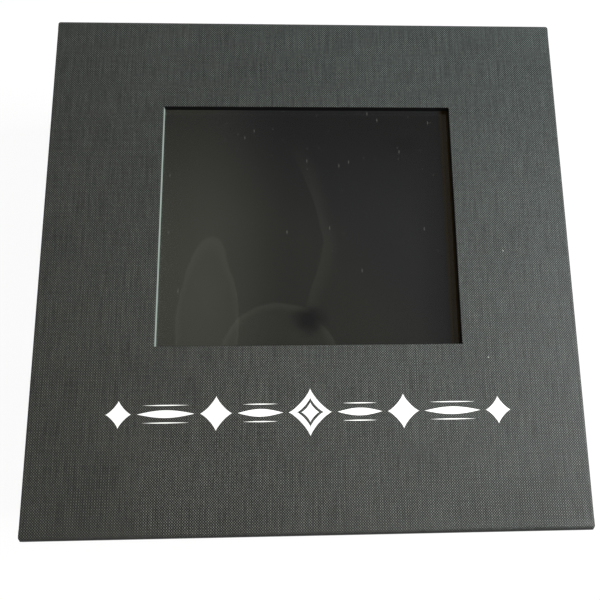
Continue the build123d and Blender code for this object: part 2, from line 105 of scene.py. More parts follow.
# Linen-embossed covering paper: black paper pressed between engraved rollers into a plain weave.
# The eye gets paler dots where threads cross on top, which are a painted sheen, hollows between them
# black with painted shade, a few thick threads that run on as streaks, and painted shade on the bends
linenPaper = {
    "warpPitch": 0.49,  # mm between threads that run up the lid
    "weftPitch": 0.52,  # mm between threads that run across it
    "relief": 0.03,  # mm from hollow to thread top
    "wander": 0.22,  # mm that a thread strays from its line
    "wanderScale": (0.09, 0.13),  # how often, for warp and weft; all noise scales are per mm
    "toFlap": (60.0, -90.0),  # mm, where the change towards the flap starts and ends
    "lines": (0.3, 0.08),  # how far warp threads show as lines: more at the flap, and everywhere
    "lineScale": 0.05,
    "pressing": 0.6,  # the roller's bite at the middle of the lid
    "pressingRight": 0.002,  # and more for each mm to the right
    "pressingMiddle": (90.0, 20.0, 0.2),  # mm either side where more starts and is full; its least
    "uneven": (0.5, 0.65),  # swing and floor of the roller's unevenness
    "unevenScale": 0.14,
    "dotLevel": (-0.07, 0.57),  # the weave's mean height, as the pressing gets harder
    "warpSlub": (0.04, 1.6, 1.6),  # stretch along the thread, scale, and what it adds to the tone
    "weftSlub": (0.06, 0.9, 0.4),
    "fibre": (0.75, 1.4),  # scale, and what it adds to the tone
    "cloud": (0.022, 0.3),
    "toneFloor": -0.85,
    "blotchScale": 0.16,
    "lean": (1.29, -0.0035),  # how much more x counts than y for the hue, and its slope per mm
    "leanRange": (-0.5, 1.1),  # from all green to all grey
    "shown": (0.42, 0.92),  # weave heights at which a thread top's painted sheen starts to show, and is full
    "bendFrom": (0.94, 0.8),  # how square to an axis a face is where the painted bend shade starts, and is full
    "bendShare": 0.75,  # how much of the pattern the painted bend shade covers
    # painted sheen for the thread tops, in a greener and a greyer hue
    "threadTopSheen": "#596361",
    "warmThreadSheen": "#5e5f59",
    # the black of the paper in its hollows, darkened with painted shade
    "hollowShade": "#0c0d0c",
    # painted shade for bends and edges
    "bend": "#0f100f",
    "reveal": "#070707",  # the paper folded down through the window, seen in its own shade
    "revealHighlight": "#85918b",  # its left side, with a painted highlight where the light rakes it
    "revealDepth": (0.1, 0.3),  # mm below the lid's face
    "revealWithin": (0.6, 0.7),  # shares of the lid's half width and half depth that hold the window
    "revealHighlightFrom": (0.3, 0.8),  # how far a face looks to the right, for that painted highlight
    "lint": "#a3a8a0",
    "lintScale": 0.11,
    "lintRare": 0.93,  # this share of its places stay clean
    "lintSize": (0.035, 0.015),  # its soft edge, as shares of the room between places
    "fibreRelief": 0.2,  # share of the weave's height
    "fibreRough": 0.16,  # how much the roughness swings with the fibres
    "roughness": 0.55,
}


turned = 0.7  # about the sine of 45 degrees: a face that has turned this far looks the other way


def threadPlace(tree, spot, facing, lie):
    # across and along the threads of a sheet that lies flat or stands up, in mm
    x, y, z = spot
    facesX, facesY, facesZ = facing
    onSides = addNode(tree, "Math", {0: facesX, 1: turned}, operation="GREATER_THAN")
    if lie == "lying":
        onEnds = addNode(tree, "Math", {0: facesY, 1: turned}, operation="GREATER_THAN")
        across = addNode(tree, "Mix", {0: onSides, 2: x, 3: z})
        along = addNode(tree, "Mix", {0: onEnds, 2: y, 3: z})
    else:
        onTop = addNode(tree, "Math", {0: facesZ, 1: turned}, operation="GREATER_THAN")
        across = addNode(tree, "Mix", {0: onSides, 2: x, 3: y})
        along = addNode(tree, "Mix", {0: onTop, 2: z, 3: y})
    return across, along


def linenMaterial(name, lie):
    made = linenPaper
    material, tree = newMaterial(name)
    place = placeInMm(tree)
    x, y, z = addNode(tree, "SeparateXYZ", {0: place}).node.outputs
    normal = addNode(tree, "TexCoord", out="Normal")
    facing = addNode(tree, "VectorMath", {0: normal}, operation="ABSOLUTE")
    facesX, facesY, facesZ = addNode(tree, "SeparateXYZ", {0: facing}).node.outputs
    across, along = threadPlace(tree, (x, y, z), (facesX, facesY, facesZ), lie)

    # the weave: one dot wherever a warp thread and a weft thread are both up, or both down
    wanderA, wanderB = made["wanderScale"]
    strayA = addNode(tree, "TexNoise", {"Vector": place, "Scale": wanderA, "Detail": 1.0})
    strayB = addNode(tree, "TexNoise", {"Vector": place, "Scale": wanderB, "Detail": 1.0})
    strayA = addNode(tree, "Math", {0: strayA, 1: made["wander"], 2: across}, operation="MULTIPLY_ADD")
    strayB = addNode(tree, "Math", {0: strayB, 1: made["wander"], 2: along}, operation="MULTIPLY_ADD")
    turnA = addNode(tree, "Math", {0: strayA, 1: math.pi / made["warpPitch"]}, operation="MULTIPLY")
    turnB = addNode(tree, "Math", {0: strayB, 1: math.pi / made["weftPitch"]}, operation="MULTIPLY")
    warp = addNode(tree, "Math", {0: turnA}, operation="SINE")
    weft = addNode(tree, "Math", {0: turnB}, operation="SINE")
    dots = addNode(tree, "Math", {0: warp, 1: weft}, operation="MULTIPLY")
    # in soft patches, and more towards the flap, warp threads also show as lines
    patch = addNode(tree, "TexNoise", {"Vector": place, "Scale": made["lineScale"]})
    forward = addNode(tree, "MapRange", {"Value": y, "From Min": made["toFlap"][0],
                                         "From Max": made["toFlap"][1]})
    lines = addNode(tree, "Math", {0: forward, 1: made["lines"][0], 2: made["lines"][1]},
                    operation="MULTIPLY_ADD")
    lines = addNode(tree, "Math", {0: lines, 1: patch}, operation="MULTIPLY")
    weave = addNode(tree, "Mix", {0: lines, 2: dots, 3: warp})
    # the roller pressed unevenly: harder towards the right, and hardest at the middle of the front
    pressFrom, pressTo, pressLeast = made["pressingMiddle"]
    inward = addNode(tree, "Math", {0: x}, operation="ABSOLUTE")
    inward = addNode(tree, "MapRange", {"Value": inward, "From Min": pressFrom, "From Max": pressTo,
                                        "To Min": pressLeast}, interpolation_type="SMOOTHSTEP")
    pressing = addNode(tree, "Math", {0: x, 1: made["pressingRight"], 2: made["pressing"]},
                       operation="MULTIPLY_ADD")
    pressing = addNode(tree, "Math", {0: inward, 1: forward, 2: pressing}, operation="MULTIPLY_ADD")
    uneven = addNode(tree, "TexNoise", {"Vector": place, "Scale": made["unevenScale"]})
    uneven = addNode(tree, "Math", {0: uneven, 1: made["uneven"][0], 2: made["uneven"][1]},
                     operation="MULTIPLY_ADD")
    pressing = addNode(tree, "Math", {0: pressing, 1: uneven}, operation="MULTIPLY")
    level = addNode(tree, "Math", {0: pressing, 1: made["dotLevel"][0], 2: made["dotLevel"][1]},
                    operation="MULTIPLY_ADD")
    height = addNode(tree, "Math", {0: weave, 1: pressing, 2: level}, operation="MULTIPLY_ADD")

    # slubs: single threads that are thicker or thinner for a few centimetres
    warpStretch, warpScale, warpTone = made["warpSlub"]
    weftStretch, weftScale, weftTone = made["weftSlub"]
    drawnOut = addNode(tree, "Math", {0: along, 1: warpStretch}, operation="MULTIPLY")
    warpSlub = addNode(tree, "CombineXYZ", {0: across, 1: drawnOut})
    warpSlub = addNode(tree, "TexNoise", {"Vector": warpSlub, "Scale": warpScale, "Roughness": 0.6})
    drawnOut = addNode(tree, "Math", {0: across, 1: weftStretch}, operation="MULTIPLY")
    weftSlub = addNode(tree, "CombineXYZ", {0: drawnOut, 1: along})
    weftSlub = addNode(tree, "TexNoise", {"Vector": weftSlub, "Scale": weftScale, "Roughness": 0.6})
    fibre = addNode(tree, "TexNoise", {"Vector": place, "Scale": made["fibre"][0], "Detail": 3.0,
                                       "Roughness": 0.7})
    cloud = addNode(tree, "TexNoise", {"Vector": place, "Scale": made["cloud"][0]})
    blotch = addNode(tree, "TexNoise", {"Vector": place, "Scale": made["blotchScale"],
                                        "Detail": 3.0})

    # colour: the thread tops carry a painted sheen, greener at the back right and greyer at the front
    # left, and its hue has blotches everywhere; the hollows between them are darkened with painted
    # shade
    leanOfX, leanSlope = made["lean"]
    lean = addNode(tree, "Math", {0: x, 1: leanOfX}, operation="MULTIPLY")
    lean = addNode(tree, "Math", {0: lean, 1: y}, operation="ADD")
    lean = addNode(tree, "Math", {0: lean, 1: facesZ}, operation="MULTIPLY")
    threadTopSheen = addNode(tree, "Math", {0: lean, 1: leanSlope, 2: blotch}, operation="MULTIPLY_ADD")
    threadTopSheen = addNode(tree, "MapRange", {"Value": threadTopSheen, "From Min": made["leanRange"][0],
                                           "From Max": made["leanRange"][1]})
    threadTopSheen = addNode(tree, "Mix", {0: threadTopSheen, 6: rgba(made["threadTopSheen"]),
                                      7: rgba(made["warmThreadSheen"])}, out=2, data_type="RGBA")
    shown = addNode(tree, "MapRange", {"Value": height, "From Min": made["shown"][0],
                                       "From Max": made["shown"][1]}, interpolation_type="SMOOTHSTEP")
    colour = addNode(tree, "Mix", {0: shown, 6: rgba(made["hollowShade"]), 7: threadTopSheen}, out=2,
                     data_type="RGBA")
    tone = made["toneFloor"]
    for noise, weight in ((warpSlub, warpTone), (weftSlub, weftTone), (fibre, made["fibre"][1]),
                          (cloud, made["cloud"][1])):
        tone = addNode(tree, "Math", {0: noise, 1: weight, 2: tone}, operation="MULTIPLY_ADD")
    colour = addNode(tree, "VectorMath", {0: colour, "Scale": tone}, operation="SCALE")

    # bends and edges: painted shade, which darkens the sheet wherever it turns a corner
    flat = addNode(tree, "Math", {0: facesX, 1: facesY}, operation="MAXIMUM")
    flat = addNode(tree, "Math", {0: flat, 1: facesZ}, operation="MAXIMUM")
    bend = addNode(tree, "MapRange", {"Value": flat, "From Min": made["bendFrom"][0],
                                      "From Max": made["bendFrom"][1], "To Max": made["bendShare"]},
                   interpolation_type="SMOOTHSTEP")
    colour = addNode(tree, "Mix", {0: bend, 6: colour, 7: rgba(made["bend"])}, out=2, data_type="RGBA")

    if lie == "lying":
        # the reveal: the paper folded down through the window, below the lid's face, painted in its own
        # shade and with a painted highlight on its left side
        below = addNode(tree, "MapRange", {"Value": z, "From Min": topHeight - made["revealDepth"][0],
                                           "From Max": topHeight - made["revealDepth"][1]})
        above = addNode(tree, "Math", {0: z, 1: filmHigh[2]}, operation="GREATER_THAN")
        withinX, withinY = made["revealWithin"]
        inX = addNode(tree, "Math", {0: x, 1: 0.0, 2: withinX * halfWidth}, operation="COMPARE")
        inY = addNode(tree, "Math", {0: y, 1: 0.0, 2: withinY * halfDepth}, operation="COMPARE")
        reveal = below
        for limit in (above, inX, inY):
            reveal = addNode(tree, "Math", {0: reveal, 1: limit}, operation="MULTIPLY")
        facesRight = addNode(tree, "SeparateXYZ", {0: normal})
        revealHighlightShare = addNode(tree, "MapRange", {"Value": facesRight, "From Min": made["revealHighlightFrom"][0],
                                            "From Max": made["revealHighlightFrom"][1]})
        revealColour = addNode(tree, "Mix", {0: revealHighlightShare, 6: rgba(made["reveal"]),
                                             7: rgba(made["revealHighlight"])}, out=2, data_type="RGBA")
        colour = addNode(tree, "Mix", {0: reveal, 6: colour, 7: revealColour}, out=2, data_type="RGBA")

    # lint and dust caught on the threads
    speck = addNode(tree, "TexVoronoi", {"Vector": place, "Scale": made["lintScale"]},
                    out="Distance")
    rare = addNode(tree, "SeparateColor", {0: speck.node.outputs["Color"]})
    rare = addNode(tree, "Math", {0: rare, 1: made["lintRare"]}, operation="GREATER_THAN")
    speck = addNode(tree, "MapRange", {"Value": speck, "From Min": made["lintSize"][0],
                                       "From Max": made["lintSize"][1]})
    speck = addNode(tree, "Math", {0: speck, 1: rare}, operation="MULTIPLY")
    colour = addNode(tree, "Mix", {0: speck, 6: colour, 7: rgba(made["lint"])}, out=2, data_type="RGBA")

    pressed = addNode(tree, "Math", {0: fibre, 1: made["fibreRelief"], 2: height},
                      operation="MULTIPLY_ADD")
    bump = addNode(tree, "Bump", {"Height": pressed, "Distance": made["relief"] * mm})
    swing = made["fibreRough"]
    rough = addNode(tree, "Math", {0: fibre, 1: swing, 2: made["roughness"] - swing / 2},
                    operation="MULTIPLY_ADD")
    surface = addNode(tree, "BsdfPrincipled", {"Base Color": colour, "Roughness": rough, "IOR": 1.5,
                                               "Specular IOR Level": 0.25, "Normal": bump})
    addNode(tree, "OutputMaterial", {"Surface": surface})
    return material


# Lining paper: dyed black in the pulp and calendered, so it is even and soft, with fine fibres
liningPaper = {
    "face": "#262727",
    "fibreTone": "#343534",
    "fibre": 0.42,  # mm
    "fibreShown": (0.4, 0.75),
    "cloudScale": 0.03,  # per mm
    "rippleScale": 0.05,
    "ripple": 8.0,  # how much higher than a fibre a ripple of the glued sheet stands
    "relief": 0.012,  # mm
    "fibreRough": 0.14,
    "roughness": 0.62,
}


def liningMaterial():
    made = liningPaper
    material, tree = newMaterial("calenderedLiningPaper")
    place = placeInMm(tree)
    fibre = addNode(tree, "TexNoise", {"Vector": place, "Scale": 1 / made["fibre"], "Detail": 4.0,
                                       "Roughness": 0.65})
    cloud = addNode(tree, "TexNoise", {"Vector": place, "Scale": made["cloudScale"], "Detail": 3.0})
    share = addNode(tree, "MapRange", {"Value": fibre, "From Min": made["fibreShown"][0],
                                       "From Max": made["fibreShown"][1]})
    share = addNode(tree, "Math", {0: share, 1: cloud}, operation="MULTIPLY")
    colour = addNode(tree, "Mix", {0: share, 6: rgba(made["face"]), 7: rgba(made["fibreTone"])},
                     out=2, data_type="RGBA")
    ripple = addNode(tree, "TexNoise", {"Vector": place, "Scale": made["rippleScale"],
                                        "Roughness": 0.4})
    height = addNode(tree, "Math", {0: ripple, 1: made["ripple"], 2: fibre}, operation="MULTIPLY_ADD")
    bump = addNode(tree, "Bump", {"Height": height, "Strength": 0.6,
                                  "Distance": made["relief"] * mm})
    swing = made["fibreRough"]
    rough = addNode(tree, "Math", {0: fibre, 1: swing, 2: made["roughness"] - swing / 2},
                    operation="MULTIPLY_ADD")
    surface = addNode(tree, "BsdfPrincipled", {"Base Color": colour, "Roughness": rough, "IOR": 1.5,
                                               "Specular IOR Level": 0.35, "Normal": bump})
    addNode(tree, "OutputMaterial", {"Surface": surface})
    return material


# Greyboard: pulped waste paper, rolled into board, so it shows flecks and a rough cut edge
greyboard = {
    "pulp": "#8b867d",
    "pale": "#a8a398",
    "pulpScale": 1.6,  # per mm
    "fleck": "#5d5952",
    "fleckScale": 0.9,
    "fleckShown": (0.62, 0.72),
    "relief": 0.05,  # mm
    "inked": "#1a1b1a",  # board ends near the sides, blacked so that no grey shows at the creases
    "inkedWidth": 8.0,  # mm in from the box's sides
    "roughness": 0.92,
}


def greyboardMaterial():
    made = greyboard
    material, tree = newMaterial("rolledGreyboard")
    place = placeInMm(tree)
    pulp = addNode(tree, "TexNoise", {"Vector": place, "Scale": made["pulpScale"], "Detail": 4.0,
                                      "Roughness": 0.7})
    fleck = addNode(tree, "TexNoise", {"Vector": place, "Scale": made["fleckScale"]})
    fleck = addNode(tree, "MapRange", {"Value": fleck, "From Min": made["fleckShown"][0],
                                       "From Max": made["fleckShown"][1]})
    colour = addNode(tree, "Mix", {0: pulp, 6: rgba(made["pulp"]), 7: rgba(made["pale"])}, out=2,
                     data_type="RGBA")
    colour = addNode(tree, "Mix", {0: fleck, 6: colour, 7: rgba(made["fleck"])}, out=2,
                     data_type="RGBA")
    x = addNode(tree, "SeparateXYZ", {0: place})
    inked = addNode(tree, "Math", {0: x}, operation="ABSOLUTE")
    inked = addNode(tree, "Math", {0: inked, 1: halfWidth - made["inkedWidth"]},
                    operation="GREATER_THAN")
    colour = addNode(tree, "Mix", {0: inked, 6: colour, 7: rgba(made["inked"])}, out=2,
                     data_type="RGBA")
    bump = addNode(tree, "Bump", {"Height": pulp, "Strength": 0.8, "Distance": made["relief"] * mm})
    surface = addNode(tree, "BsdfPrincipled", {"Base Color": colour, "Roughness": made["roughness"],
                                               "Specular IOR Level": 0.3, "Normal": bump})
    addNode(tree, "OutputMaterial", {"Surface": surface})
    return material


# Gummed kraft tape: unbleached sulphate paper, so it is brown, with long fibres and a faint gloss
kraftTape = {
    "face": "#a07c52",
    "fibreTone": "#7c5c38",
    "fibre": (0.9, 0.9, 0.15),  # per mm, so fibres run up the corner
    "relief": 0.02,  # mm
    "roughness": 0.6,
}


def kraftMaterial():
    made = kraftTape
    material, tree = newMaterial("gummedKraftTape")
    drawn = addNode(tree, "VectorMath", {0: placeInMm(tree), 1: made["fibre"]}, operation="MULTIPLY")
    fibre = addNode(tree, "TexNoise", {"Vector": drawn, "Scale": 1.0, "Detail": 3.0})
    colour = addNode(tree, "Mix", {0: fibre, 6: rgba(made["face"]), 7: rgba(made["fibreTone"])},
                     out=2, data_type="RGBA")
    bump = addNode(tree, "Bump", {"Height": fibre, "Strength": 0.5, "Distance": made["relief"] * mm})
    surface = addNode(tree, "BsdfPrincipled", {"Base Color": colour, "Roughness": made["roughness"],
                                               "Normal": bump})
    addNode(tree, "OutputMaterial", {"Surface": surface})
    return material


# Clear polyester film: cast and stretched, so it is glossy and faintly wavy. Handling leaves greasy
# smears with brighter rims, short scratches and dust, which all show against the black card
windowFilm = {
    "clean": "#0b0c0b",
    "haze": "#56574d",  # a greasy haze, thickest at the lower left
    "paleHaze": "#4b4b4d",  # where it is thin, to the right and the spine
    "hazeFlap": (74.0, 6.0, 0.22),  # y in mm where it starts towards the flap and is full; its share
    "hazeLeft": (-6.0, -46.0, 0.2, 0.17),  # x in the same way; its share, and more of it at the flap
    "hazeCloud": (0.016, 0.5, 0.75),  # scale per mm, swing and floor
    "hueLean": (1.24, 0.0, 50.0),  # how much more x counts than y, and where paleHaze starts, is full
    "rim": "#383830",  # what a smear's rim adds to it
    "dust": "#a9ada4",
    "dustNear": 0.2,  # how much commoner dust is at the spine's side
    "glue": "#5f4c1c",  # a line of old glue along the window's right edge
    "glueWidth": 3.2,  # mm
    "glueCover": 0.9,
    "clearWidth": 16.0,  # mm beside that edge in which the haze thins out
    "clearLeast": 0.2,
    "paintedLightWidth": 2.2,  # mm of painted light at the foot of the window's edge, along the spine's side, that lifts the shade the edge casts on the film
    "paintedLightShare": 0.33,
    "marks": (((5.0, 5.0, 5.0), 0.055, 0.03), ((4.5, 18.0, 1.0), 0.06, 0.04)),  # mm apart, size, share
    "markCover": 0.25,
    "cover": 0.35,  # share of the card's light that haze and gloss hide
    "ior": 1.57,
    "roughness": 0.06,
    # mm: middle and radii; how strong rim and inside are, where the rim rises and falls (as shares of
    # the radii), and left of which share it fades out
    "smears": (
        {"middle": (-42.0, -37.0), "radii": (13.2, 48.3), "rim": 0.25, "inside": 0.2,
         "edge": (0.78, 0.96, 0.95, 1.0), "openTo": -2.0},
        {"middle": (-13.0, -38.0), "radii": (24.0, 20.5), "rim": 0.35, "inside": 0.12,
         "edge": (0.8, 0.96, 0.95, 1.0), "openTo": -2.0},
        {"middle": (-42.2, 9.0), "radii": (48.0, 56.0), "rim": 0.26, "inside": 0.0,
         "edge": (0.985, 1.0, 1.0, 1.15), "openTo": 0.68},
    ),
    "openWidth": 0.25,  # the width of that fading, as a share of the radius
    "smearWaver": (0.05, 6.0),  # scale per mm, and mm that a smear's edge strays
    "wiped": (((-0.2, -25.6), (7.4, 6.4)), ((41.0, 52.5), (8.0, 4.0))),  # thumb marks: middle, radii
    "wipedWaver": (0.13, 5.0),
    "wipedEdge": (1.35, 0.2),  # shares of the radii where a thumb mark starts, and is clean
    "waveScale": 0.035,
    "wave": 0.25,  # mm, the faint waviness of a glued sheet
}


def strayPlace(tree, place, waver):
    # a place that strays a little, and by how much it strays in the mean
    scale, width = waver
    noise = addNode(tree, "TexNoise", {"Vector": place, "Scale": scale})
    noise = addNode(tree, "VectorMath", {0: noise.node.outputs["Color"], "Scale": width},
                    operation="SCALE")
    return addNode(tree, "VectorMath", {0: place, 1: noise}, operation="ADD"), width / 2


def spotOnFilm(tree, strayed, middle, radii):
    # where a place lies in an ellipse, and how far out, as shares of the radii
    place, mean = strayed
    spot = addNode(tree, "Mapping", {
        "Vector": place, "Scale": (1 / radii[0], 1 / radii[1], 0),
        "Location": (-(middle[0] + mean) / radii[0], -(middle[1] + mean) / radii[1], 0)})
    return spot, addNode(tree, "VectorMath", {0: spot}, out="Value", operation="LENGTH")


def filmMaterial():
    made = windowFilm
    material, tree = newMaterial("castPolyesterFilm")
    place = placeInMm(tree)
    x, y = addNode(tree, "SeparateXYZ", {0: place}).node.outputs[:2]
    # haze: thick on the left, thinner on the right, and thinnest along the spine's side
    cloudScale, cloudSwing, cloudFloor = made["hazeCloud"]
    cloud = addNode(tree, "TexNoise", {"Vector": place, "Scale": cloudScale})
    cloud = addNode(tree, "Math", {0: cloud, 1: cloudSwing, 2: cloudFloor}, operation="MULTIPLY_ADD")
    flapFrom, flapTo, flapShare = made["hazeFlap"]
    toFlap = addNode(tree, "MapRange", {"Value": y, "From Min": flapFrom, "From Max": flapTo},
                     interpolation_type="SMOOTHSTEP")
    leftFrom, leftTo, leftShare, leftAtFlap = made["hazeLeft"]
    toLeft = addNode(tree, "MapRange", {"Value": x, "From Min": leftFrom, "From Max": leftTo},
                     interpolation_type="SMOOTHSTEP")
    haze = addNode(tree, "Math", {0: toFlap, 1: leftAtFlap, 2: leftShare}, operation="MULTIPLY_ADD")
    haze = addNode(tree, "Math", {0: haze, 1: toLeft}, operation="MULTIPLY")
    haze = addNode(tree, "Math", {0: toFlap, 1: flapShare, 2: haze}, operation="MULTIPLY_ADD")
    haze = addNode(tree, "Math", {0: haze, 1: cloud}, operation="MULTIPLY")
    toRight = addNode(tree, "MapRange", {"Value": x, "From Min": windowRight - made["clearWidth"],
                                         "From Max": windowRight, "To Min": 1.0,
                                         "To Max": made["clearLeast"]})
    haze = addNode(tree, "Math", {0: haze, 1: toRight}, operation="MULTIPLY")
    # painted light: a strip of haze along the spine's side that lifts the edge's shade
    paintedLight = addNode(tree, "MapRange", {"Value": y, "From Min": windowSpine - made["paintedLightWidth"],
                                      "From Max": windowSpine, "To Max": made["paintedLightShare"]})
    haze = addNode(tree, "Math", {0: haze, 1: paintedLight}, operation="ADD")
    leanOfX, hueFrom, hueTo = made["hueLean"]
    slope = addNode(tree, "Math", {0: x, 1: leanOfX, 2: y}, operation="MULTIPLY_ADD")
    hue = addNode(tree, "MapRange", {"Value": slope, "From Min": hueFrom, "From Max": hueTo},
                  interpolation_type="SMOOTHSTEP")
    hue = addNode(tree, "Mix", {0: hue, 6: rgba(made["haze"]), 7: rgba(made["paleHaze"])}, out=2,
                  data_type="RGBA")
    colour = addNode(tree, "Mix", {0: haze, 6: rgba(made["clean"]), 7: hue}, out=2, data_type="RGBA")

    # each smear is an ellipse whose edge wavers a little, with a thin bright rim
    strayed = strayPlace(tree, place, made["smearWaver"])
    for smear in made["smears"]:
        spot, reach = spotOnFilm(tree, strayed, smear["middle"], smear["radii"])
        riseFrom, riseTo, fallFrom, fallTo = smear["edge"]
        inside = addNode(tree, "MapRange", {"Value": reach, "From Min": fallTo,
                                            "From Max": fallFrom}, interpolation_type="SMOOTHSTEP")
        rim = addNode(tree, "MapRange", {"Value": reach, "From Min": riseFrom, "From Max": riseTo},
                      interpolation_type="SMOOTHSTEP")
        fade = addNode(tree, "SeparateXYZ", {0: spot})
        fade = addNode(tree, "MapRange", {"Value": fade, "From Min": smear["openTo"],
                                          "From Max": smear["openTo"] + made["openWidth"]})
        rim = addNode(tree, "Math", {0: rim, 1: fade}, operation="MULTIPLY")
        rim = addNode(tree, "Math", {0: rim, 1: smear["rim"], 2: smear["inside"]},
                      operation="MULTIPLY_ADD")
        rim = addNode(tree, "Math", {0: rim, 1: inside}, operation="MULTIPLY")
        colour = addNode(tree, "Mix", {0: rim, 6: colour, 7: rgba(made["rim"])}, out=2,
                         data_type="RGBA", blend_type="ADD")
    strayed = strayPlace(tree, place, made["wipedWaver"])
    for middle, radii in made["wiped"]:
        thumb = spotOnFilm(tree, strayed, middle, radii)[1]
        thumb = addNode(tree, "MapRange", {"Value": thumb, "From Min": made["wipedEdge"][0],
                                           "From Max": made["wipedEdge"][1]},
                        interpolation_type="SMOOTHSTEP")
        colour = addNode(tree, "Mix", {0: thumb, 6: colour, 7: rgba(made["clean"])}, out=2,
                         data_type="RGBA")
    glue = addNode(tree, "MapRange", {"Value": x, "From Min": windowRight - made["glueWidth"],
                                      "From Max": windowRight, "To Max": made["glueCover"]},
                   interpolation_type="SMOOTHSTEP")
    colour = addNode(tree, "Mix", {0: glue, 6: colour, 7: rgba(made["glue"])}, out=2, data_type="RGBA")

    # dust, and scratches drawn out from front to back, both commonest near the spine
    near = addNode(tree, "MapRange", {"Value": y, "From Max": filmHigh[1],
                                      "To Max": made["dustNear"]})
    for cell, width, share in made["marks"]:
        drawn = addNode(tree, "VectorMath", {0: place, 1: [1 / v for v in cell]}, operation="MULTIPLY")
        mark = addNode(tree, "TexVoronoi", {"Vector": drawn, "Scale": 1.0}, out="Distance",
                       voronoi_dimensions="2D")
        rare = addNode(tree, "SeparateColor", {0: mark.node.outputs["Color"]})
        rare = addNode(tree, "Math", {0: rare, 1: near}, operation="ADD")
        rare = addNode(tree, "Math", {0: rare, 1: 1 - share}, operation="GREATER_THAN")
        mark = addNode(tree, "MapRange", {"Value": mark, "From Min": width, "From Max": width / 2,
                                          "To Max": made["markCover"]})
        mark = addNode(tree, "Math", {0: mark, 1: rare}, operation="MULTIPLY")
        colour = addNode(tree, "Mix", {0: mark, 6: colour, 7: rgba(made["dust"])}, out=2,
                         data_type="RGBA")
    wave = addNode(tree, "TexNoise", {"Vector": place, "Scale": made["waveScale"], "Detail": 1.0,
                                      "Roughness": 0.4})
    bump = addNode(tree, "Bump", {"Height": wave, "Distance": made["wave"] * mm})
    surface = addNode(tree, "BsdfPrincipled", {
        "Base Color": colour, "Roughness": made["roughness"], "IOR": made["ior"],
        "Specular IOR Level": 0.85, "Alpha": made["cover"], "Normal": bump})
    addNode(tree, "OutputMaterial", {"Surface": surface})
    return material


# Black card: dyed in the pulp and uncoated, so it is deep and matt with a faint tooth
blackCard = {
    "face": "#0c0c0b",
    "tooth": "#141413",
    "toothScale": 2.8,  # per mm
    "relief": 0.02,  # mm
    "roughness": 0.88,
}


def cardMaterial():
    made = blackCard
    material, tree = newMaterial("dyedBlackCard")
    tooth = addNode(tree, "TexNoise", {"Vector": placeInMm(tree), "Scale": made["toothScale"],
                                       "Detail": 3.0})
    colour = addNode(tree, "Mix", {0: tooth, 6: rgba(made["face"]), 7: rgba(made["tooth"])}, out=2,
                     data_type="RGBA")
    bump = addNode(tree, "Bump", {"Height": tooth, "Strength": 0.5, "Distance": made["relief"] * mm})
    surface = addNode(tree, "BsdfPrincipled", {"Base Color": colour, "Roughness": made["roughness"],
                                               "Specular IOR Level": 0.3, "Normal": bump})
    addNode(tree, "OutputMaterial", {"Surface": surface})
    return material


# Plated discs: bright nickel on the magnets, dull zinc on the steel, both scuffed by tumbling
platedMetal = {
    "magnet_nickel": {"name": "nickelPlatedMagnet", "face": "#c9c4ba", "roughness": 0.2},
    "keeper_steel": {"name": "zincPlatedSteel", "face": "#a9adb0", "roughness": 0.38},
    "scuffScale": 1.8,  # per mm
    "scuff": 0.2,  # how much the roughness swings with the scuffs
}


def platedMaterial(slot):
    made = platedMetal[slot]
    material, tree = newMaterial(made["name"])
    swing = platedMetal["scuff"]
    scuff = addNode(tree, "TexNoise", {"Vector": placeInMm(tree), "Scale": platedMetal["scuffScale"],
                                       "Detail": 4.0, "Roughness": 0.7})
    rough = addNode(tree, "Math", {0: scuff, 1: swing, 2: made["roughness"] - swing / 2},
                    operation="MULTIPLY_ADD")
    surface = addNode(tree, "BsdfPrincipled", {"Base Color": rgba(made["face"]), "Metallic": 1.0,
                                               "Roughness": rough})
    addNode(tree, "OutputMaterial", {"Surface": surface})
    return material


# Screen ink: a thick white matt ink printed on the linen, which fills most of the weave
screenInk = {
    "face": "#f4f4f1",
    "thin": "#dcdcd8",
    "grainScale": 2.2,  # per mm
    "thinFrom": (0.6, 0.8),
    "relief": 0.01,  # mm
    "roughness": 0.6,
}


def inkMaterial():
    made = screenInk
    material, tree = newMaterial("screenPrintedInk")
    place = placeInMm(tree)
    rings = addNode(tree, "VectorMath", {0: place, "Scale": math.pi / linenPaper["warpPitch"]},
                    operation="SCALE")
    rings = addNode(tree, "VectorMath", {0: rings}, operation="SINE")
    u, v = addNode(tree, "SeparateXYZ", {0: rings}).node.outputs[:2]
    weave = addNode(tree, "Math", {0: u, 1: v}, operation="MULTIPLY")
    grain = addNode(tree, "TexNoise", {"Vector": place, "Scale": made["grainScale"], "Detail": 3.0})
    thin = addNode(tree, "MapRange", {"Value": grain, "From Min": made["thinFrom"][0],
                                      "From Max": made["thinFrom"][1]})
    colour = addNode(tree, "Mix", {0: thin, 6: rgba(made["face"]), 7: rgba(made["thin"])}, out=2,
                     data_type="RGBA")
    bump = addNode(tree, "Bump", {"Height": weave, "Strength": 0.5, "Distance": made["relief"] * mm})
    surface = addNode(tree, "BsdfPrincipled", {"Base Color": colour, "Roughness": made["roughness"],
                                               "Specular IOR Level": 0.3, "Normal": bump})
    addNode(tree, "OutputMaterial", {"Surface": surface})
    return material


